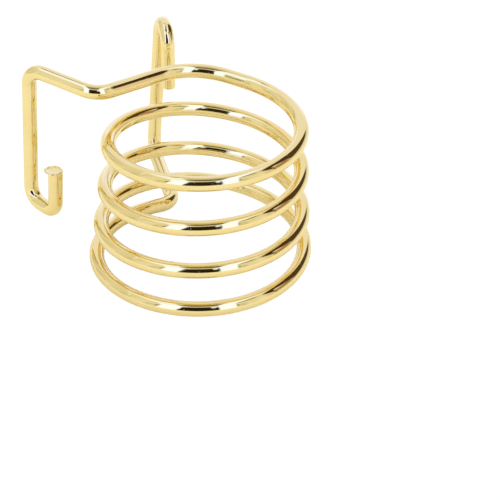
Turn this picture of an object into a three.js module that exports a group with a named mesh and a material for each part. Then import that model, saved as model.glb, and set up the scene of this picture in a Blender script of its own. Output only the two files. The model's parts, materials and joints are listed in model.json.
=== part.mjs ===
// A saxophone ligature bent from one length of round gold-plated wire.
// The wire makes a coil of about four turns that holds the reed on the mouthpiece, and each end of it
// runs out to a finger lever: a riser away from the coil, a grip along it and a hook folded back.
// Squeezing the two grips together unwinds the coil a little, so that it opens.
//
// Millimetres, +Z along the coil from the mouthpiece's shank end to its tip end. The origin is on the
// coil's axis, level with the underside of the lowest turn. +Y points towards the levers.
// Each mesh is one length of the wire, because the wire flexes between them.

import * as THREE from "three";

// The wire.
const WIRE_DIAMETER = 2;
const WIRE_SIDES = 12;
const CUT_GAP = 0.3;            // clear space between neighbouring lengths of the wire
const COIL_STEP = 1.75;         // longest facet along the coil
const BEND_STEP = 0.75;         // the same along a length of lever that has a bend in it
const STRAIGHT_STEP = 100;      // the same along a straight length, which needs only one

// The coil. Turn 0 is at the back, and the wire climbs anticlockwise as seen from above.
const SHANK_RADIUS = 14.5;      // to the wire's centre, at the mouthpiece's shank end
const TIP_RADIUS = 12.4;        // the same at the tip end: the coil tapers as the mouthpiece does
const TAPER_EASE = 1.25;        // more than 1, so the taper eases off towards the tip
const HALF_TURN_RISES = [1.4, 2.9, 2.65, 2.8, 3.25, 3.25, 2.95, 2.7];
const COIL_TURNS = HALF_TURN_RISES.length / 2;
const COIL_START = 0.078;       // in turns: here the wire leaves the coil for the shank lever
const COIL_END = 3.93;          // and here for the tip lever

// The levers, from the coil outwards. A step is a straight run to the next corner: its heading in
// degrees from +X towards +Y, how far it goes in plan, and how far it rises. A corner is bent to the
// radius of its step. The first step leaves the coil along the coil's own tangent.
const SHANK_LEVER_EXIT = { length: 2.9, bend: 2.8 };
const SHANK_LEVER_STEPS = [
  { name: "riser", heading: 103.1, run: 16.15, rise: 0, bend: 2.8 },
  { name: "grip", heading: 0, run: 0.8, rise: 22.1, bend: 2.45 },
  { name: "hook", heading: -76.5, run: 5.2, rise: 0, bend: 2.45 },
  { name: "return", heading: 0, run: 0.3, rise: -8.75 },
];
const TIP_LEVER_EXIT = { length: 8.2, bend: 9 };
const TIP_LEVER_STEPS = [
  { name: "lead", heading: 217.7, run: 15.6, rise: -0.27, bend: 3.2 },
  { name: "riser", heading: 152, run: 10.8, rise: 1.05, bend: 2 },
  { name: "grip", heading: 180, run: 0.45, rise: -20.3, bend: 2.1 },
  { name: "hook", heading: -47.2, run: 5.7, rise: 0, bend: 2 },
  { name: "return", heading: 0, run: 0.2, rise: 7.05 },
];

// The plating.
const GOLD = { color: 0xe9c875, metalness: 1, roughness: 0.18 };

// A polygon of the same area as the round wire.
const SECTION_SHARE = (WIRE_SIDES / (2 * Math.PI)) * Math.sin((2 * Math.PI) / WIRE_SIDES);
const SECTION_RADIUS = WIRE_DIAMETER / 2 / Math.sqrt(SECTION_SHARE);

// Turn, height and radius of the coil at every half turn, on one smooth curve.
const windingPoints = [];
let height = WIRE_DIAMETER / 2;
for (let half = 0; half <= HALF_TURN_RISES.length; half += 1) {
  const turn = half / 2;
  const left = 1 - turn / COIL_TURNS;
  const radius = TIP_RADIUS + (SHANK_RADIUS - TIP_RADIUS) * left ** TAPER_EASE;
  windingPoints.push(new THREE.Vector3(turn, height, radius));
  height += HALF_TURN_RISES[half] ?? 0;
}
const windings = new THREE.CatmullRomCurve3(windingPoints, false, "catmullrom", 0.5);

// The wire's centreline between two places on the coil, both in turns.
class CoilCurve extends THREE.Curve {
  constructor(fromTurn, toTurn) {
    super();
    this.fromTurn = fromTurn;
    this.toTurn = toTurn;
  }

  getPoint(t, target = new THREE.Vector3()) {
    const turn = THREE.MathUtils.lerp(this.fromTurn, this.toTurn, t);
    const { y: level, z: radius } = windings.getPoint(turn / COIL_TURNS);
    const angle = (turn + 0.25) * 2 * Math.PI;
    return target.set(radius * Math.cos(angle), radius * Math.sin(angle), level);
  }
}

// A bend: an arc about an axis through its centre.
class BendCurve extends THREE.Curve {
  constructor(centre, start, axis, angle) {
    super();
    this.centre = centre;
    this.arm = start.clone().sub(centre);
    this.axis = axis;
    this.angle = angle;
  }

  getPoint(t, target = new THREE.Vector3()) {
    return target.copy(this.arm).applyAxisAngle(this.axis, this.angle * t).add(this.centre);
  }
}

// Part of a longer path, between two distances along it.
class PathLength extends THREE.Curve {
  constructor(path, from, to) {
    super();
    this.path = path;
    this.share = [from / path.getLength(), to / path.getLength()];
  }

  getPoint(t, target = new THREE.Vector3()) {
    return target.copy(this.path.getPoint(THREE.MathUtils.lerp(...this.share, t)));
  }
}

// The straight runs and bends of a lever: run, bend, run, bend, ..., run.
function leverPieces(start, tangent, exit, steps) {
  const corners = [start, start.clone().addScaledVector(tangent, exit.length)];
  for (const { heading, run, rise } of steps) {
    const angle = THREE.MathUtils.degToRad(heading);
    const step = new THREE.Vector3(run * Math.cos(angle), run * Math.sin(angle), rise);
    corners.push(corners.at(-1).clone().add(step));
  }
  const bends = [exit, ...steps].map((step) => step.bend);
  const pieces = [];
  let runStart = start;
  for (let corner = 1; corner < corners.length - 1; corner += 1) {
    const before = corners[corner].clone().sub(corners[corner - 1]).normalize();
    const after = corners[corner + 1].clone().sub(corners[corner]).normalize();
    const angle = before.angleTo(after);
    const radius = bends[corner - 1];
    const setback = radius * Math.tan(angle / 2);
    const bendStart = corners[corner].clone().addScaledVector(before, -setback);
    const axis = before.clone().cross(after).normalize();
    const centre = bendStart.clone().addScaledVector(axis.clone().cross(before), radius);
    const bend = new BendCurve(centre, bendStart, axis, angle);
    pieces.push(new THREE.LineCurve3(runStart, bendStart), bend);
    runStart = bend.getPoint(1);
  }
  pieces.push(new THREE.LineCurve3(runStart, corners.at(-1)));
  return pieces;
}

const section = new THREE.Shape();
section.absarc(0, 0, SECTION_RADIUS, 0, 2 * Math.PI);

// One length of the wire, kept back from its neighbour at each end that has one.
function wireLength(name, curves, step, freeEnd = false) {
  const path = new THREE.CurvePath();
  for (const curve of curves) {
    path.add(curve);
  }
  const length = path.getLength();
  const last = freeEnd ? length : length - CUT_GAP / 2;
  const extrudePath = new PathLength(path, CUT_GAP / 2, last);
  const steps = Math.ceil((last - CUT_GAP / 2) / step);
  const shape = { steps, extrudePath, curveSegments: WIRE_SIDES / 2 };
  const geometry = new THREE.ExtrudeGeometry(section, shape);
  const mesh = new THREE.Mesh(geometry, new THREE.MeshStandardMaterial(GOLD));
  mesh.name = name;
  return mesh;
}

const ligature = new THREE.Group();

// The coil, one length for each half turn, from the shank end up.
for (let half = 0; half < HALF_TURN_RISES.length; half += 1) {
  const from = Math.max(half / 2, COIL_START);
  const to = Math.min((half + 1) / 2, COIL_END);
  const side = half % 2 === 0 ? "left" : "right";
  const turn = Math.floor(half / 2) + 1;
  ligature.add(wireLength(`coil_turn_${turn}_${side}`, [new CoilCurve(from, to)], COIL_STEP));
}

// The shank lever: elbow, riser, grip and hook.
const coil = new CoilCurve(COIL_START, COIL_END);
const shankRuns = leverPieces(
  coil.getPoint(0),
  coil.getTangent(0).negate(),
  SHANK_LEVER_EXIT,
  SHANK_LEVER_STEPS,
);
ligature.add(wireLength("shank_lever_elbow", shankRuns.slice(0, 2), BEND_STEP));
ligature.add(wireLength("shank_lever_riser", shankRuns.slice(2, 4), BEND_STEP));
ligature.add(wireLength("shank_lever_grip", shankRuns.slice(4, 5), STRAIGHT_STEP));
ligature.add(wireLength("shank_lever_hook", shankRuns.slice(5), BEND_STEP, true));

// The tip lever: lead, riser, grip and hook.
const tipRuns = leverPieces(
  coil.getPoint(1),
  coil.getTangent(1),
  TIP_LEVER_EXIT,
  TIP_LEVER_STEPS,
);
ligature.add(wireLength("tip_lever_lead", tipRuns.slice(0, 3), BEND_STEP));
ligature.add(wireLength("tip_lever_riser", tipRuns.slice(3, 6), BEND_STEP));
ligature.add(wireLength("tip_lever_grip", tipRuns.slice(6, 7), STRAIGHT_STEP));
ligature.add(wireLength("tip_lever_hook", tipRuns.slice(7), BEND_STEP, true));

export default ligature;
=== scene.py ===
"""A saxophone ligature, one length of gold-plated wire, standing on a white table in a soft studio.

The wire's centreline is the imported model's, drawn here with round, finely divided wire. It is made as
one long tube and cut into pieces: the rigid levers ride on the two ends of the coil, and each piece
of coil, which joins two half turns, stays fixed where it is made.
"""

import json
import math

import bpy
import numpy as np
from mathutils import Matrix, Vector, noise


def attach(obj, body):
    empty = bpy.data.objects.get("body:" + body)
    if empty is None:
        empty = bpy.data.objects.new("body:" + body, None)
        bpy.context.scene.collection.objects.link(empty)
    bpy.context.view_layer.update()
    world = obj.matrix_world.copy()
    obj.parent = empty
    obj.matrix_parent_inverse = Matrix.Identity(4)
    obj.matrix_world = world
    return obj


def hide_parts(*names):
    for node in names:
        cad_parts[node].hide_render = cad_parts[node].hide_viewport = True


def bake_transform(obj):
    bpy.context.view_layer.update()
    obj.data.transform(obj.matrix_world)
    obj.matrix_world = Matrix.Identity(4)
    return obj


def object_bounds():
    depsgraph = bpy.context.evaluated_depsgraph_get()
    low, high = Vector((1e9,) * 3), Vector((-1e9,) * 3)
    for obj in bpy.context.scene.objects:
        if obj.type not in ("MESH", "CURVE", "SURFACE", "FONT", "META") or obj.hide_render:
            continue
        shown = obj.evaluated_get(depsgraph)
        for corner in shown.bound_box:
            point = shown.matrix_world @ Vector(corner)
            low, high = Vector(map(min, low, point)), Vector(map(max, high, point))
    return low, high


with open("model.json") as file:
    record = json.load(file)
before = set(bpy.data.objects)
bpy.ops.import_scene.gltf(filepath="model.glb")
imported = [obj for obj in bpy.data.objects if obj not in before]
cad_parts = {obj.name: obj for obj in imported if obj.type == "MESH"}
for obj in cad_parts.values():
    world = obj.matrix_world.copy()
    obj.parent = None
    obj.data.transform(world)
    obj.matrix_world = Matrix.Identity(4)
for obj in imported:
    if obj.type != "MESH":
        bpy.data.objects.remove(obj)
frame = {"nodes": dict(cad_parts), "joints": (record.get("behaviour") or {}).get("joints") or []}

cad_low, cad_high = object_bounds()
scene = bpy.context.scene

MM = 0.001

# ---------------------------------------------------------------------------------------------------
# Camera: in front of the coil and above it, turned a little so that the ligature stands to the left.

CAMERA_PLACE = Vector((-0.26, -159.62, 107.29)) * MM
CAMERA_TURNS = (56.685, -2.696, -0.719)     # degrees about X, Y and Z
CAMERA_LENS = 99.85                         # on a sensor 36 mm wide


def make_camera():
    data = bpy.data.cameras.new("camera")
    data.lens = CAMERA_LENS
    data.sensor_width = 36
    data.clip_start = 1 * MM
    data.clip_end = 100
    camera = bpy.data.objects.new("camera", data)
    camera.location = CAMERA_PLACE
    camera.rotation_euler = [math.radians(turn) for turn in CAMERA_TURNS]
    scene.collection.objects.link(camera)
    scene.camera = camera


# ---------------------------------------------------------------------------------------------------
# The wire's centreline. Distances are in metres, and headings in degrees from +X towards +Y.

WIRE_RADIUS = 1 * MM

# The coil. Turn 0 is at the back, and the wire climbs anticlockwise as seen from above. Its height and
# radius at each half turn in between are those of the joints.
SHANK_RADIUS = 14.5 * MM
TIP_RADIUS = 12.4 * MM
LAST_RISE = 2.7 * MM
COIL_START = 0.078      # in turns, where the wire leaves the coil for the shank lever
COIL_END = 3.93         # and where it leaves for the tip lever

# The levers, from the coil outwards. A step is (heading, run in plan, rise, radius of its last corner),
# and the first step leaves along the coil's own tangent: (length, radius of its last corner).
SHANK_EXIT = (2.9 * MM, 2.8 * MM)
SHANK_STEPS = [
    (103.1, 16.15 * MM, 0, 2.8 * MM),
    (0, 0.8 * MM, 22.1 * MM, 2.45 * MM),
    (-76.5, 5.2 * MM, 0, 2.45 * MM),
    (0, 0.3 * MM, -8.75 * MM, 0),
]
TIP_EXIT = (8.2 * MM, 9 * MM)
TIP_STEPS = [
    (217.7, 15.6 * MM, -0.27 * MM, 3.2 * MM),
    (152, 10.8 * MM, 1.05 * MM, 2 * MM),
    (180, 0.45 * MM, -20.3 * MM, 2.1 * MM),
    (-47.2, 5.7 * MM, 0, 2 * MM),
    (0, 0.2 * MM, 7.05 * MM, 0),
]

# Spacing of the rings of points that make the tube.
STRAIGHT_STEP = 0.5 * MM
COIL_STEP = 0.35 * MM
BEND_STEP = math.radians(4)
END_STEP = 0.02 * MM    # a ring this close to each end keeps the shading even from piece to piece


def unit(vector):
    return vector / np.linalg.norm(vector)


def stations(length, step):
    """Distances along a stretch of wire, evenly spaced, with one more close to each end."""
    count = max(2, math.ceil(length / step))
    inner = np.linspace(0, length, count + 1)[1:-1]
    return np.concatenate([[0, END_STEP], inner, [length - END_STEP, length]])


def coil_knots():
    """Height and radius of the wire's centre at every half turn."""
    joints = sorted(frame["joints"], key=lambda joint: joint["name"])
    knots = [(WIRE_RADIUS, SHANK_RADIUS)]
    for joint in joints:
        x, y, z = joint["pos_m"]
        knots.append((z, math.hypot(x, y)))
    knots.append((knots[-1][0] + LAST_RISE, TIP_RADIUS))
    return np.array(knots)


KNOTS = coil_knots()


def coil_point(turn):
    """The wire's centre at a place on the coil, by a Catmull-Rom curve through the half turns."""
    last = len(KNOTS) - 1
    at = min(max(turn * 2, 0), last)
    i = min(int(at), last - 1)
    t = at - i
    p1, p2 = KNOTS[i], KNOTS[i + 1]
    p0 = KNOTS[i - 1] if i > 0 else 2 * p1 - p2
    p3 = KNOTS[i + 2] if i + 2 <= last else 2 * p2 - p1
    v1, v2 = (p2 - p0) / 2, (p3 - p1) / 2
    height, radius = (
        p1 + v1 * t + (3 * (p2 - p1) - 2 * v1 - v2) * t ** 2 + (2 * (p1 - p2) + v1 + v2) * t ** 3
    )
    angle = (turn + 0.25) * 2 * math.pi
    return np.array([radius * math.cos(angle), radius * math.sin(angle), height])


def coil_tangent(turn):
    near = 1e-4     # in turns
    return unit(coil_point(turn + near) - coil_point(turn - near))


def coil_stretch(start, end):
    """Points and tangents along the coil, between two places in turns."""
    radius = np.hypot(*coil_point((start + end) / 2)[:2])
    length = (end - start) * 2 * math.pi * radius
    turns = start + stations(length, COIL_STEP) / length * (end - start)
    points = np.array([coil_point(turn) for turn in turns])
    tangents = np.array([coil_tangent(turn) for turn in turns])
    return points, tangents


def straight_stretch(start, end):
    length = np.linalg.norm(end - start)
    tangent = (end - start) / length
    along = stations(length, STRAIGHT_STEP)[:, None]
    return start + along * tangent, np.repeat(tangent[None], len(along), axis=0)


def bend_stretch(start, before, after, radius):
    """An arc from start that turns from the direction before to the direction after."""
    angle = math.acos(np.clip(before @ after, -1, 1))
    inward = unit(np.cross(np.cross(before, after), before))
    centre = start + inward * radius
    turned = stations(angle * radius, BEND_STEP * radius)[:, None] / radius
    points = centre - inward * radius * np.cos(turned) + before * radius * np.sin(turned)
    tangents = before * np.cos(turned) + inward * np.sin(turned)
    return points, tangents


def lever_stretches(start, tangent, leave, steps):
    """A lever's stretches, from the coil outwards: straight, bend, straight, ..., straight."""
    corners = [start, start + tangent * leave[0]]
    for heading, run, rise, _ in steps:
        angle = math.radians(heading)
        corners.append(corners[-1] + np.array([run * math.cos(angle), run * math.sin(angle), rise]))
    radii = [leave[1]] + [step[3] for step in steps]
    stretches = []
    begin = start
    for corner, radius in zip(range(1, len(corners) - 1), radii):
        before = unit(corners[corner] - corners[corner - 1])
        after = unit(corners[corner + 1] - corners[corner])
        setback = radius * math.tan(math.acos(np.clip(before @ after, -1, 1)) / 2)
        bend_start = corners[corner] - before * setback
        stretches.append(straight_stretch(begin, bend_start))
        stretches.append(bend_stretch(bend_start, before, after, radius))
        begin = corners[corner] + after * setback
    stretches.append(straight_stretch(begin, corners[-1]))
    return stretches


def reverse(stretches):
    return [(points[::-1], -tangents[::-1]) for points, tangents in reversed(stretches)]


# Each piece of wire, from the shank lever's free end to the tip lever's, and its stretches.
JOINT_COUNT = len(frame["joints"])
FIRST_CUT = 0.25                            # in turns: the elbow runs into the coil as far as this
LAST_CUT = JOINT_COUNT / 2 + 0.25           # and the tip lever's lead starts here


def wire_pieces():
    shank = lever_stretches(
        coil_point(COIL_START), -coil_tangent(COIL_START), SHANK_EXIT, SHANK_STEPS
    )
    tip = lever_stretches(coil_point(COIL_END), coil_tangent(COIL_END), TIP_EXIT, TIP_STEPS)
    pieces = {
        "shank_hook_wire": reverse(shank[5:]),
        "shank_grip_wire": reverse(shank[4:5]),
        "shank_riser_wire": reverse(shank[2:4]),
        "shank_elbow_wire": reverse(shank[0:2]) + [coil_stretch(COIL_START, FIRST_CUT)],
    }
    for number in range(1, JOINT_COUNT + 1):
        ends = (number / 2 - 0.25, number / 2 + 0.25)
        pieces[f"coil_wire_{number}"] = [coil_stretch(*ends)]
    pieces["tip_lead_wire"] = [coil_stretch(LAST_CUT, COIL_END)] + tip[0:3]
    pieces["tip_riser_wire"] = tip[3:6]
    pieces["tip_grip_wire"] = tip[6:7]
    pieces["tip_hook_wire"] = tip[7:]
    return pieces


# ---------------------------------------------------------------------------------------------------
# Materials, all made from nodes. The attribute wire_point unrolls the wire: X and Y go across it and Z
# along it, in metres, so that drawing marks follow the wire round its bends.

GOLD_PALE = (0.94, 0.79, 0.39)
GOLD_RICH = (0.92, 0.75, 0.33)
GOLD_EDGE = (0.97, 0.96, 0.92)          # at a glancing angle
GOLD_ROUGHNESS = (0.045, 0.10)          # from clean plate to smears left by fingers
TONE_SCALE = 150.0                      # a scale is a noise's number of cells in a metre
SMEAR_SCALE = 420.0
SMEAR_STRETCH = (1, 1, 4)               # how much longer its cells are than wide
DRAWN_SCALE = 9000.0                    # lines from drawing the wire, under the plate
DRAWN_STRETCH = (1, 1, 45)
DRAWN_HEIGHT = 0.0001 * MM
RIPPLE_SCALE = 550.0
RIPPLE_HEIGHT = 0.003 * MM
PEEL_SCALE = 3200.0
PEEL_HEIGHT = 0.0002 * MM
SCRATCHES = [(64, 2100.0), (-71, 2600.0)]   # direction in degrees from the wire's, and scale
SCRATCH_STRETCH = (1, 1, 30)
SCRATCH_ROUGHNESS = 0.12
SCRATCH_DEPTH = 0.0006 * MM
TORN_SCALE = 5200.0
TORN_STRETCH = (1, 2.5, 1)
TORN_HEIGHT = 0.035 * MM
TORN_ROUGHNESS = 0.12


def add(tree, kind, inputs=None, **settings):
    """A new node, with its settings, and its inputs set to values or linked to other nodes' outputs."""
    made = tree.nodes.new(kind)
    for name, value in settings.items():
        setattr(made, name, value)
    for name, value in (inputs or {}).items():
        if isinstance(value, bpy.types.NodeSocket):
            tree.links.new(value, made.inputs[name])
        else:
            made.inputs[name].default_value = value
    return made


def math_node(tree, operation, first, second):
    return add(tree, "ShaderNodeMath", {0: first, 1: second}, operation=operation).outputs[0]


def add_scaled(tree, total, value, factor):
    """total + value * factor."""
    inputs = {0: value, 1: factor, 2: total}
    return add(tree, "ShaderNodeMath", inputs, operation="MULTIPLY_ADD").outputs[0]


def noise_node(tree, vector, scale, detail=2.0):
    inputs = {"Vector": vector, "Scale": scale, "Detail": detail}
    return add(tree, "ShaderNodeTexNoise", inputs).outputs["Fac"]


def stretched(tree, vector, factors, turn=0.0):
    """The vector scaled by factors after a turn about Y, in degrees."""
    inputs = {"Vector": vector, "Scale": factors, "Rotation": (0, math.radians(turn), 0)}
    return add(tree, "ShaderNodeMapping", inputs, vector_type="TEXTURE").outputs["Vector"]


def map_range(tree, value, low, high, to_low, to_high):
    inputs = {
        "Value": value, "From Min": low, "From Max": high, "To Min": to_low, "To Max": to_high,
    }
    return add(tree, "ShaderNodeMapRange", inputs).outputs["Result"]


def ramp(tree, value, stops):
    """A colour for each value, between (place, colour) stops."""
    node = add(tree, "ShaderNodeValToRGB", {"Fac": value})
    elements = node.color_ramp.elements
    while len(elements) < len(stops):
        elements.new(1.0)
    for element, (place, colour) in zip(elements, stops):
        element.position = place
        element.color = (*colour, 1)
    return node.outputs["Color"]


def new_material(name):
    material = bpy.data.materials.new(name)
    material.use_nodes = True
    material.node_tree.nodes.clear()
    return material, material.node_tree


def make_gold(name, torn):
    """Bright gold plate over drawn brass. Where it is torn, as on a cut end, it is rough and uneven."""
    material, tree = new_material(name)
    place = add(tree, "ShaderNodeAttribute", attribute_name="wire_point").outputs["Vector"]

    tone = noise_node(tree, place, TONE_SCALE, 3.0)
    colour = ramp(tree, tone, [(0.35, GOLD_PALE), (0.65, GOLD_RICH)])

    drawn = noise_node(tree, stretched(tree, place, DRAWN_STRETCH), DRAWN_SCALE, 3.0)
    ripple = noise_node(tree, place, RIPPLE_SCALE, 1.0)
    peel = noise_node(tree, place, PEEL_SCALE, 1.0)
    height = math_node(tree, "MULTIPLY", drawn, DRAWN_HEIGHT)
    height = add_scaled(tree, height, ripple, RIPPLE_HEIGHT)
    height = add_scaled(tree, height, peel, PEEL_HEIGHT)

    smear = noise_node(tree, stretched(tree, place, SMEAR_STRETCH), SMEAR_SCALE, 4.0)
    roughness = map_range(tree, smear, 0.35, 0.75, *GOLD_ROUGHNESS)
    for turn, scale in SCRATCHES:
        line = noise_node(tree, stretched(tree, place, SCRATCH_STRETCH, turn), scale, 1.0)
        scratch = map_range(tree, line, 0.70, 0.73, 0.0, 1.0)
        roughness = add_scaled(tree, roughness, scratch, SCRATCH_ROUGHNESS)
        height = add_scaled(tree, height, scratch, -SCRATCH_DEPTH)

    if torn:
        grain = noise_node(tree, stretched(tree, place, TORN_STRETCH), TORN_SCALE, 4.0)
        height = add_scaled(tree, height, grain, TORN_HEIGHT)
        roughness = math_node(tree, "ADD", roughness, TORN_ROUGHNESS)

    normal = add(tree, "ShaderNodeBump", {"Height": height, "Distance": 1.0, "Strength": 1.0})
    shader = add(tree, "ShaderNodeBsdfPrincipled", {
        "Base Color": colour,
        "Metallic": 1.0,
        "Roughness": roughness,
        "Specular Tint": (*GOLD_EDGE, 1),
        "Normal": normal.outputs["Normal"],
    })
    add(tree, "ShaderNodeOutputMaterial", {"Surface": shader.outputs["BSDF"]})
    return material


materials = {"plate": make_gold("gold_plate", False), "cut": make_gold("gold_plate_cut", True)}


# ---------------------------------------------------------------------------------------------------
# The tube round the centreline.

WIRE_SIDES = 48
ANGLES = np.arange(WIRE_SIDES) * 2 * math.pi / WIRE_SIDES

# Drawn and bent wire is never quite round or straight.
WAVES = [(23 * MM, 0.8), (9.1 * MM, 2.1), (5.3 * MM, 4.4)]     # wavelength and phase along the wire
WAVE_DEPTH = 0.003 * MM
BEND_FLATTENING = 0.04      # share of its radius that the wire flattens by in its tightest bends
BEND_BLUR = 0.5 * MM        # distance along the wire over which that comes and goes

# The free ends. Shearing left a lip to one side of the tip lever's end.
END_LENGTH = 0.9 * MM       # the last stretch, drawn with closer rings
END_SPACING = 0.05 * MM
END_ROUNDING = 0.14 * MM
ROUNDING_RINGS = 5
LIP_SHARE = 0.29            # how far the lip stands out, as a share of the wire's radius
LIP_BEGINS = 0.42 * MM      # depths below the cut face where the lip begins and is full
LIP_FULL = 0.12 * MM
LIP_DIRECTION = np.array([-1.0, -0.1, 0.0])
FACE_RINGS = 9
FACE_GRAIN = 0.45 * MM      # size and depth of the torn metal on the cut faces
FACE_DEPTH = 0.05 * MM
DISH_DEPTH = 0.20 * MM      # the shear also left a raised rim round the face with the lip


def join_stretches(stretches):
    """One run of points and tangents, without the points that neighbouring stretches share."""
    points = [stretches[0][0]] + [points[1:] for points, _ in stretches[1:]]
    tangents = [stretches[0][1]] + [tangents[1:] for _, tangents in stretches[1:]]
    return np.concatenate(points), np.concatenate(tangents)


def carried_normals(tangents):
    """A direction across the wire at each ring, carried along it without twisting."""
    normal = np.array([1.0, 0.0, 0.0])
    normals = []
    for tangent in tangents:
        normal = unit(normal - (normal @ tangent) * tangent)
        normals.append(normal)
    return np.array(normals)


def bend_vectors(tangents, along):
    """Towards the inside of the wire's bend at each ring, and about 1 long in the tightest bends."""
    gaps = np.maximum(np.diff(along), 1e-9)
    curvature = np.diff(tangents, axis=0) / gaps[:, None]
    middles = (along[1:] + along[:-1]) / 2
    weights = np.exp(-((along[:, None] - middles) / BEND_BLUR) ** 2) * gaps
    return weights @ curvature / weights.sum(axis=1, keepdims=True) * 2 * WIRE_RADIUS


def spokes(tangents, normals):
    """Directions from the wire's centre to the points of each ring."""
    sideways = np.cross(tangents, normals)
    return np.cos(ANGLES)[:, None] * normals[:, None] + np.sin(ANGLES)[:, None] * sideways[:, None]


def side_rings(points, radial, along, bends):
    """The rings of points along the wire's side."""
    sharpness = np.linalg.norm(bends, axis=1)
    inward = bends / np.maximum(sharpness, 1e-6)[:, None]
    in_plane = np.einsum("rsk,rk->rs", radial, inward) ** 2
    flattening = BEND_FLATTENING * sharpness[:, None] * (0.5 - in_plane)
    wave = sum(np.sin(2 * math.pi * along / length + phase) for length, phase in WAVES)
    radius = WIRE_RADIUS * (1 + flattening) + WAVE_DEPTH * wave[:, None]
    return points[:, None] + radial * radius[:, :, None]


def smooth(value, start, end):
    t = np.clip((value - start) / (end - start), 0, 1)
    return t * t * (3 - 2 * t)


def end_rings(end, outward, radial, has_lip):
    """Rings and their radii, out to the wire's free end, round its rim and in across the cut face."""
    quarter = np.linspace(0, math.pi / 2, ROUNDING_RINGS + 1)
    side_depths = np.arange(END_LENGTH, END_ROUNDING, -END_SPACING)[1:]
    inward = np.linspace(1, 0, FACE_RINGS + 2)[1:-1]
    face_radii = (WIRE_RADIUS - END_ROUNDING) * inward
    dish = DISH_DEPTH * (1 - inward ** 4) if has_lip else 0 * inward
    depths = [*side_depths, *(END_ROUNDING * (1 - np.sin(quarter))), *dish]
    radii = [
        *(WIRE_RADIUS + 0 * side_depths),
        *(WIRE_RADIUS - END_ROUNDING * (1 - np.cos(quarter))),
        *face_radii,
    ]
    made = []
    for depth, radius in zip(depths, radii):
        lip = LIP_SHARE * smooth(depth, LIP_BEGINS, LIP_FULL) if has_lip else 0
        centre = end - outward * depth + unit(LIP_DIRECTION) * lip * WIRE_RADIUS
        ring = centre + radial * radius * (1 + lip)
        torn = FACE_DEPTH * smooth(radius, WIRE_RADIUS, WIRE_RADIUS - END_ROUNDING)
        grain = np.array([noise.noise(Vector(point / FACE_GRAIN)) for point in ring])
        made.append(ring + outward * (torn * grain)[:, None])
    return np.array(made), np.array(radii)


def make_piece(name, rings, radii, along):
    """One closed length of wire. Rings with a smaller radius than the wire's lie on a cut face."""
    count = len(rings)
    sides = np.arange(WIRE_SIDES)
    first = np.arange(count - 1)[:, None] * WIRE_SIDES + sides
    second = np.arange(count - 1)[:, None] * WIRE_SIDES + np.roll(sides, -1)
    strips = np.stack([first, second, second + WIRE_SIDES, first + WIRE_SIDES], axis=2)
    caps = [sides[::-1].tolist(), (sides + (count - 1) * WIRE_SIDES).tolist()]
    faces = strips.reshape(-1, 4).tolist() + caps
    mesh = bpy.data.meshes.new(name)
    mesh.from_pydata(rings.reshape(-1, 3).tolist(), [], faces)

    is_cut = np.minimum(radii[:-1], radii[1:]) < WIRE_RADIUS - END_ROUNDING / 2
    caps_cut = [radii[0] < WIRE_RADIUS / 2, radii[-1] < WIRE_RADIUS / 2]
    slots = np.concatenate([np.repeat(is_cut, WIRE_SIDES), caps_cut]).astype(np.int32)
    mesh.materials.append(materials["plate"])
    mesh.materials.append(materials["cut"])
    mesh.polygons.foreach_set("material_index", slots)
    mesh.shade_smooth()
    for cap, cut in zip(mesh.polygons[-2:], caps_cut):
        cap.use_smooth = bool(cut)

    across = radii[:, None, None] * np.stack([np.cos(ANGLES), np.sin(ANGLES)], axis=1)
    depth = np.broadcast_to(along[:, None, None], (count, WIRE_SIDES, 1))
    unrolled = np.concatenate([across, depth], axis=2).astype(np.float32)
    attribute = mesh.attributes.new("wire_point", "FLOAT_VECTOR", "POINT")
    attribute.data.foreach_set("vector", unrolled.ravel())

    piece = bpy.data.objects.new(name, mesh)
    scene.collection.objects.link(piece)
    return piece


def make_wire():
    """Every piece of the wire, by name. They share their end rings, so that the wire looks whole."""
    stretches = {name: join_stretches(made) for name, made in wire_pieces().items()}
    points = np.concatenate([points for points, _ in stretches.values()])
    tangents = np.concatenate([tangents for _, tangents in stretches.values()])
    steps = np.linalg.norm(np.diff(points, axis=0), axis=1)
    along = np.concatenate([[0], np.cumsum(steps)])
    radial = spokes(tangents, carried_normals(tangents))
    rings = side_rings(points, radial, along, bend_vectors(tangents, along))
    radii = np.full(len(rings), WIRE_RADIUS)

    made = {}
    last = len(points) - 1
    start = 0
    for name, (part, _) in stretches.items():
        stop = start + len(part)
        chosen = [index for index in range(start, stop)
                  if END_LENGTH <= along[index] <= along[last] - END_LENGTH]
        lengths = [(rings[chosen], radii[chosen], along[chosen])]
        if start == 0:
            end, end_radii = end_rings(points[0], -tangents[0], radial[0], False)
            lengths.insert(0, (end[::-1], end_radii[::-1], np.full(len(end), along[0])))
        if stop == last + 1:
            end, end_radii = end_rings(points[last], tangents[last], radial[last], True)
            lengths.append((end, end_radii, np.full(len(end), along[last])))
        made[name] = make_piece(name, *(np.concatenate(values) for values in zip(*lengths)))
        start = stop
    return made


wire = make_wire()


# ---------------------------------------------------------------------------------------------------
# What each piece rides on, and the CAD lengths that it stands for.


def ride_lever(body, lever, lengths):
    for length in lengths:
        piece = wire[f"{lever}_{length}_wire"]
        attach(piece, body)
        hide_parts(f"{lever}_lever_{length}")


def blend_coil():
    """Each piece of coil has a joint at its middle. It is in front or behind, and the wire climbs
    anticlockwise, so the piece starts on the left of a joint in front and on the right of one behind."""
    joints = sorted(frame["joints"], key=lambda joint: joint["name"])
    half_turns = sorted(name for name in frame["nodes"] if name.startswith("coil_turn"))
    for number, joint in enumerate(joints, start=1):
        piece = wire[f"coil_wire_{number}"]
        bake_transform(piece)
        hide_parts(half_turns[number - 1])
    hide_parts(half_turns[-1])


ride_lever("shank_end", "shank", ["hook", "grip", "riser", "elbow"])
ride_lever("tip_end", "tip", ["lead", "riser", "grip", "hook"])
blend_coil()


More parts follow.
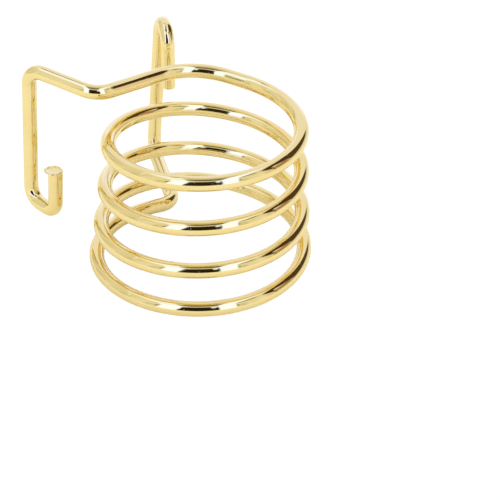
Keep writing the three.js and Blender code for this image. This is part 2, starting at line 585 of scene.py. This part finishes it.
# ---------------------------------------------------------------------------------------------------
# The studio: a white table in even light, inside a pale tent. A polished wire shows its roundness by
# what it reflects: two long bright strips of light beside the camera that arch overhead, the dark
# between them where the camera stands, a dim ceiling and one dark corner.

TABLE_SIZE = 8.0
TABLE_COLOUR = (0.08, 0.08, 0.08, 1)
TABLE_GLOW = 0.95           # lit from below too, so that the wire's shadow stays faint
TABLE_GRAIN_SCALE = 900.0
REFLECTED_COLOUR = (0.95, 0.93, 0.88, 1)
REFLECTED_RISE = 0.05 * MM  # above the table that the camera sees
SKY_STRENGTH = 1.05
STUDIO_RADIUS = 1.5         # of a panel at distance 1
PANEL_STEPS = 64


def make_table(name, height, colour, glow):
    mesh = bpy.data.meshes.new(name)
    half = TABLE_SIZE / 2
    corners = [(-half, -half), (half, -half), (half, half), (-half, half)]
    mesh.from_pydata([(x, y, height) for x, y in corners], [], [(0, 1, 2, 3)])
    material, tree = new_material(name)
    place = add(tree, "ShaderNodeTexCoord").outputs["Object"]
    grain = noise_node(tree, place, TABLE_GRAIN_SCALE, 2.0)
    shader = add(tree, "ShaderNodeBsdfPrincipled", {
        "Base Color": colour,
        "Roughness": map_range(tree, grain, 0.3, 0.7, 0.7, 0.85),
        "Specular IOR Level": 0.1,
        "Emission Color": (1, 1, 1, 1),
        "Emission Strength": glow,
    })
    add(tree, "ShaderNodeOutputMaterial", {"Surface": shader.outputs["BSDF"]})
    mesh.materials.append(material)
    table = bpy.data.objects.new(name, mesh)
    scene.collection.objects.link(table)
    return table


def make_tables():
    """The white table, and the slightly greyer one that the wire reflects."""
    table = make_table("table", cad_low.z, TABLE_COLOUR, TABLE_GLOW)
    table.visible_glossy = False
    reflected = make_table("reflected_table", cad_low.z + REFLECTED_RISE, REFLECTED_COLOUR, 0.0)
    reflected.visible_camera = False
    reflected.visible_diffuse = False
    reflected.visible_shadow = False


def make_sky():
    world = bpy.data.worlds.new("studio")
    world.use_nodes = True
    background = world.node_tree.nodes["Background"]
    background.inputs["Color"].default_value = (1, 1, 1, 1)
    background.inputs["Strength"].default_value = SKY_STRENGTH
    scene.world = world


def direction(azimuth, elevation):
    across, up = math.radians(azimuth), math.radians(elevation)
    return np.array([
        math.cos(across) * math.cos(up), math.sin(across) * math.cos(up), math.sin(up),
    ])


def panel_material(name, colours, softness):
    """Light whose colour runs evenly through colours along the panel, and fades out at its edges."""
    material, tree = new_material(name)
    place = add(tree, "ShaderNodeUVMap", uv_map="panel").outputs["UV"]
    axes = add(tree, "ShaderNodeSeparateXYZ", {"Vector": place}).outputs
    cover = None
    for axis, soft in zip(("X", "Y"), softness):
        from_middle = math_node(tree, "ABSOLUTE", math_node(tree, "SUBTRACT", axes[axis], 0.5), 0.0)
        edge = add(tree, "ShaderNodeMapRange", {
            "Value": from_middle, "From Min": 0.5 - soft, "From Max": 0.5,
            "To Min": 1.0, "To Max": 0.0,
        }, interpolation_type="SMOOTHSTEP").outputs["Result"]
        cover = edge if cover is None else math_node(tree, "MULTIPLY", cover, edge)
    brightest = max(max(colour) for colour in colours)
    places = np.linspace(0, 1, len(colours))
    stops = [(float(at), [part / brightest for part in colour]) for at, colour in zip(places, colours)]
    light = add(tree, "ShaderNodeEmission", {
        "Color": ramp(tree, axes["X"], stops), "Strength": brightest,
    })
    clear = add(tree, "ShaderNodeBsdfTransparent")
    mixed = add(tree, "ShaderNodeMixShader", {
        0: cover, 1: clear.outputs["BSDF"], 2: light.outputs["Emission"],
    })
    add(tree, "ShaderNodeOutputMaterial", {"Surface": mixed.outputs["Shader"]})
    return material


def make_panel(name, way, colours, softness, distance=1.0):
    """A curved panel round the ligature, seen only in reflections. Its middle follows the way, a list
    of (azimuth, elevation, width) in degrees. Softness is the share of it that fades out at each edge,
    (along, across). A panel at a smaller distance hides those behind it."""
    at = np.linspace(0, len(way) - 1, PANEL_STEPS)
    knots = np.array([direction(azimuth, elevation) for azimuth, elevation, _ in way])
    middles = np.stack([np.interp(at, range(len(way)), knots[:, axis]) for axis in range(3)], axis=1)
    middles /= np.linalg.norm(middles, axis=1, keepdims=True)
    halves = np.radians(np.interp(at, range(len(way)), [width / 2 for _, _, width in way]))
    ahead = np.gradient(middles, axis=0)
    sideways = np.cross(ahead, middles)
    sideways /= np.linalg.norm(sideways, axis=1, keepdims=True)
    turns = halves[:, None, None] * np.linspace(-1, 1, PANEL_STEPS)[:, None]
    vertices = middles[:, None] * np.cos(turns) + sideways[:, None] * np.sin(turns)
    corners = np.arange(PANEL_STEPS ** 2).reshape(PANEL_STEPS, PANEL_STEPS)
    faces = np.stack([corners[:-1, :-1], corners[:-1, 1:], corners[1:, 1:], corners[1:, :-1]], axis=2)
    mesh = bpy.data.meshes.new(name)
    mesh.from_pydata((vertices * STUDIO_RADIUS * distance).reshape(-1, 3).tolist(), [],
                     faces.reshape(-1, 4).tolist())
    layer = mesh.uv_layers.new(name="panel")
    shares = faces.reshape(-1) // PANEL_STEPS, faces.reshape(-1) % PANEL_STEPS
    layer.data.foreach_set("uv", (np.stack(shares, axis=1) / (PANEL_STEPS - 1)).ravel())
    mesh.shade_smooth()
    mesh.materials.append(panel_material(name, colours, softness))
    panel = bpy.data.objects.new(name, mesh)
    panel.visible_camera = False
    panel.visible_diffuse = False
    panel.visible_shadow = False
    scene.collection.objects.link(panel)


# Linear red, green and blue, beside a white of 1.
TENT_LEFT = (0.76, 0.75, 0.70)
TENT_RIGHT = (0.86, 0.85, 0.80)
TENT_BACK = (0.92, 0.92, 1.04)
TENT_SWEEP = (1.00, 1.07, 1.68)
TENT_NEAR_LEFT = (0.87, 0.86, 0.86)
FOLD_DARK = (0.68, 0.66, 0.60)
FOLD_LIGHT = (0.86, 0.86, 0.84)
FOLD_PALE = (0.95, 0.90, 1.05)
FOLD_ROSY = (0.80, 0.66, 0.64)
FOLD_SHADED = (0.58, 0.58, 0.48)
SEAM = (1.00, 1.05, 1.25)
COOL_WHITE = (1.11, 1.34, 2.50)
FADED_WHITE = (1.03, 1.18, 1.90)
GLOW = (0.97, 0.97, 0.98)
GAP = (0.64, 0.70, 0.90)
FRAME = (0.18, 0.17, 0.12)
UNLIT = (0.021, 0.014, 0.003)
CEILING = (0.45, 0.42, 0.38)
CEILING_BEAM = (0.075, 0.065, 0.035)
CORNER_DARK = (0.088, 0.049, 0.017)
CORNER_RED = (0.055, 0.022, 0.008)
CORNER_RIM = (0.32, 0.22, 0.14)
CORNER_SIDE = (0.42, 0.24, 0.18)
CORNER_FOOT = (0.72, 0.75, 0.84)

make_camera()
make_tables()
make_sky()

# The camera looks along azimuth 90, from 270. First the tent with its folds, and the ceiling.
make_panel("tent", [(180, 0, 180), (180, 45, 180), (180, 90, 180), (0, 45, 180), (0, 0, 180)],
           [TENT_LEFT, TENT_RIGHT], (0.001, 0.001), 1.25)
make_panel("tent_back", [(90, -5, 110), (90, 20, 110), (90, 68, 90)],
           [TENT_BACK, TENT_BACK], (0.2, 0.3), 1.2)
make_panel("tent_sweep", [(88, -12, 64), (88, 8, 60), (88, 26, 50)],
           [TENT_SWEEP, TENT_SWEEP], (0.25, 0.2), 1.19)
make_panel("tent_near_left", [(211, -5, 30), (211, 20, 30), (211, 50, 24)],
           [TENT_NEAR_LEFT, TENT_NEAR_LEFT], (0.2, 0.2), 1.2)
for number, (azimuth, colour) in enumerate([
    (133, FOLD_SHADED), (152, FOLD_DARK), (170, FOLD_LIGHT), (190, FOLD_DARK), (219, FOLD_DARK),
    (311, FOLD_DARK), (330, FOLD_PALE), (340, FOLD_ROSY),
]):
    make_panel(f"fold_{number}", [(azimuth, -5, 12), (azimuth, 15, 12), (azimuth, 42, 9)],
               [colour, colour], (0.3, 0.5), 1.18 - 0.001 * number)
make_panel("seam", [(90, 35, 2), (105, 47, 2), (135, 54, 2), (165, 51, 2), (182, 43, 2), (195, 20, 2)],
           [SEAM, SEAM], (0.1, 0.3), 1.14)
make_panel("ceiling", [(264, 58, 36), (264, 75, 50), (264, 90, 50), (90, 77, 40)],
           [CEILING, CEILING], (0.1, 0.12), 1.2)
make_panel("ceiling_beam", [(266, 70, 30), (266, 77, 30), (266, 84, 30)],
           [CEILING_BEAM, CEILING_BEAM], (0.15, 0.2), 1.15)
make_panel("ceiling_back", [(136, 66, 4), (118, 61, 5), (100, 60, 4)],
           [FRAME, FRAME], (0.3, 0.3), 0.99)
make_panel("light_gap", [(236, 60, 9), (250, 61, 9), (280, 61, 9), (294, 60, 9)],
           [COOL_WHITE, GAP, GAP, COOL_WHITE], (0.05, 0.15), 1.07)

# What is beside the camera.
make_panel("camera_side", [(267.2, 0, 41), (267.2, 28, 39.5), (266.5, 57, 28)],
           [UNLIT, UNLIT], (0.06, 0.03), 1.05)
make_panel("notch", [(281.5, 36, 5), (281.5, 47, 5), (281.5, 56, 5)],
           [FADED_WHITE, FADED_WHITE], (0.2, 0.2), 1.03)

# The dark corner, to the right.
make_panel("corner_foot", [(30, -3, 60), (30, 6, 60), (30, 15, 56)],
           [CORNER_FOOT, CORNER_FOOT], (0.1, 0.2), 1.15)
make_panel("corner_side", [(358, 6, 24), (358, 22, 22), (0, 42, 18)],
           [CORNER_SIDE, CORNER_SIDE], (0.25, 0.2), 1.14)
make_panel("corner_core", [(31, 12, 48), (31, 36, 44), (26, 58, 36)],
           [CORNER_DARK, CORNER_DARK, CORNER_DARK, CORNER_RED], (0.10, 0.12), 1.13)
make_panel("corner_tail", [(308, 56, 5), (327, 57, 9), (346, 57, 13)],
           [CORNER_RED, CORNER_RED], (0.25, 0.35), 1.121)
make_panel("corner_rim", [(346.5, 2, 4), (346.5, 24, 5), (347.5, 40, 9), (352, 50, 13), (5, 55, 13),
                          (25, 56, 13), (46, 52, 11)],
           [CORNER_RIM, CORNER_RIM, CORNER_RED, CORNER_RED, CORNER_RED, CORNER_RED, CORNER_RED],
           (0.08, 0.22), 1.12)

# The two strips of light, their glow and the frames that hold them.
make_panel("glow_left", [(208, 52, 18), (188, 57, 18), (163, 58, 18), (138, 53, 18)],
           [GLOW, GLOW], (0.3, 0.5), 1.04)
make_panel("frame_left", [(226.5, 12, 4), (226, 28, 4), (223.5, 44, 4)],
           [FRAME, FRAME, TENT_LEFT], (0.3, 0.25), 1.05)
make_panel("frame_right", [(305.5, 12, 4), (305.7, 30, 4), (307, 46, 4)],
           [FRAME, FRAME, TENT_RIGHT], (0.3, 0.25), 1.05)
make_panel("strip_left", [(237.8, -3, 20), (237.8, 28, 19.5), (234, 46, 17), (225, 57, 16),
                          (210, 64, 15), (190, 67, 16), (165, 68, 17), (140, 63, 17), (118, 55, 15)],
           [COOL_WHITE] * 4 + [FADED_WHITE] * 4 + [TENT_LEFT], (0.03, 0.12))
make_panel("strip_right", [(295.7, -3, 18.5), (295.7, 28, 18), (297, 50, 16), (303, 64, 14),
                           (325, 72, 15), (355, 75, 15), (20, 73, 14), (45, 67, 12), (62, 60, 10)],
           [COOL_WHITE] * 5 + [FADED_WHITE] * 3 + [TENT_RIGHT], (0.03, 0.12))

scene.view_settings.view_transform = "Standard"
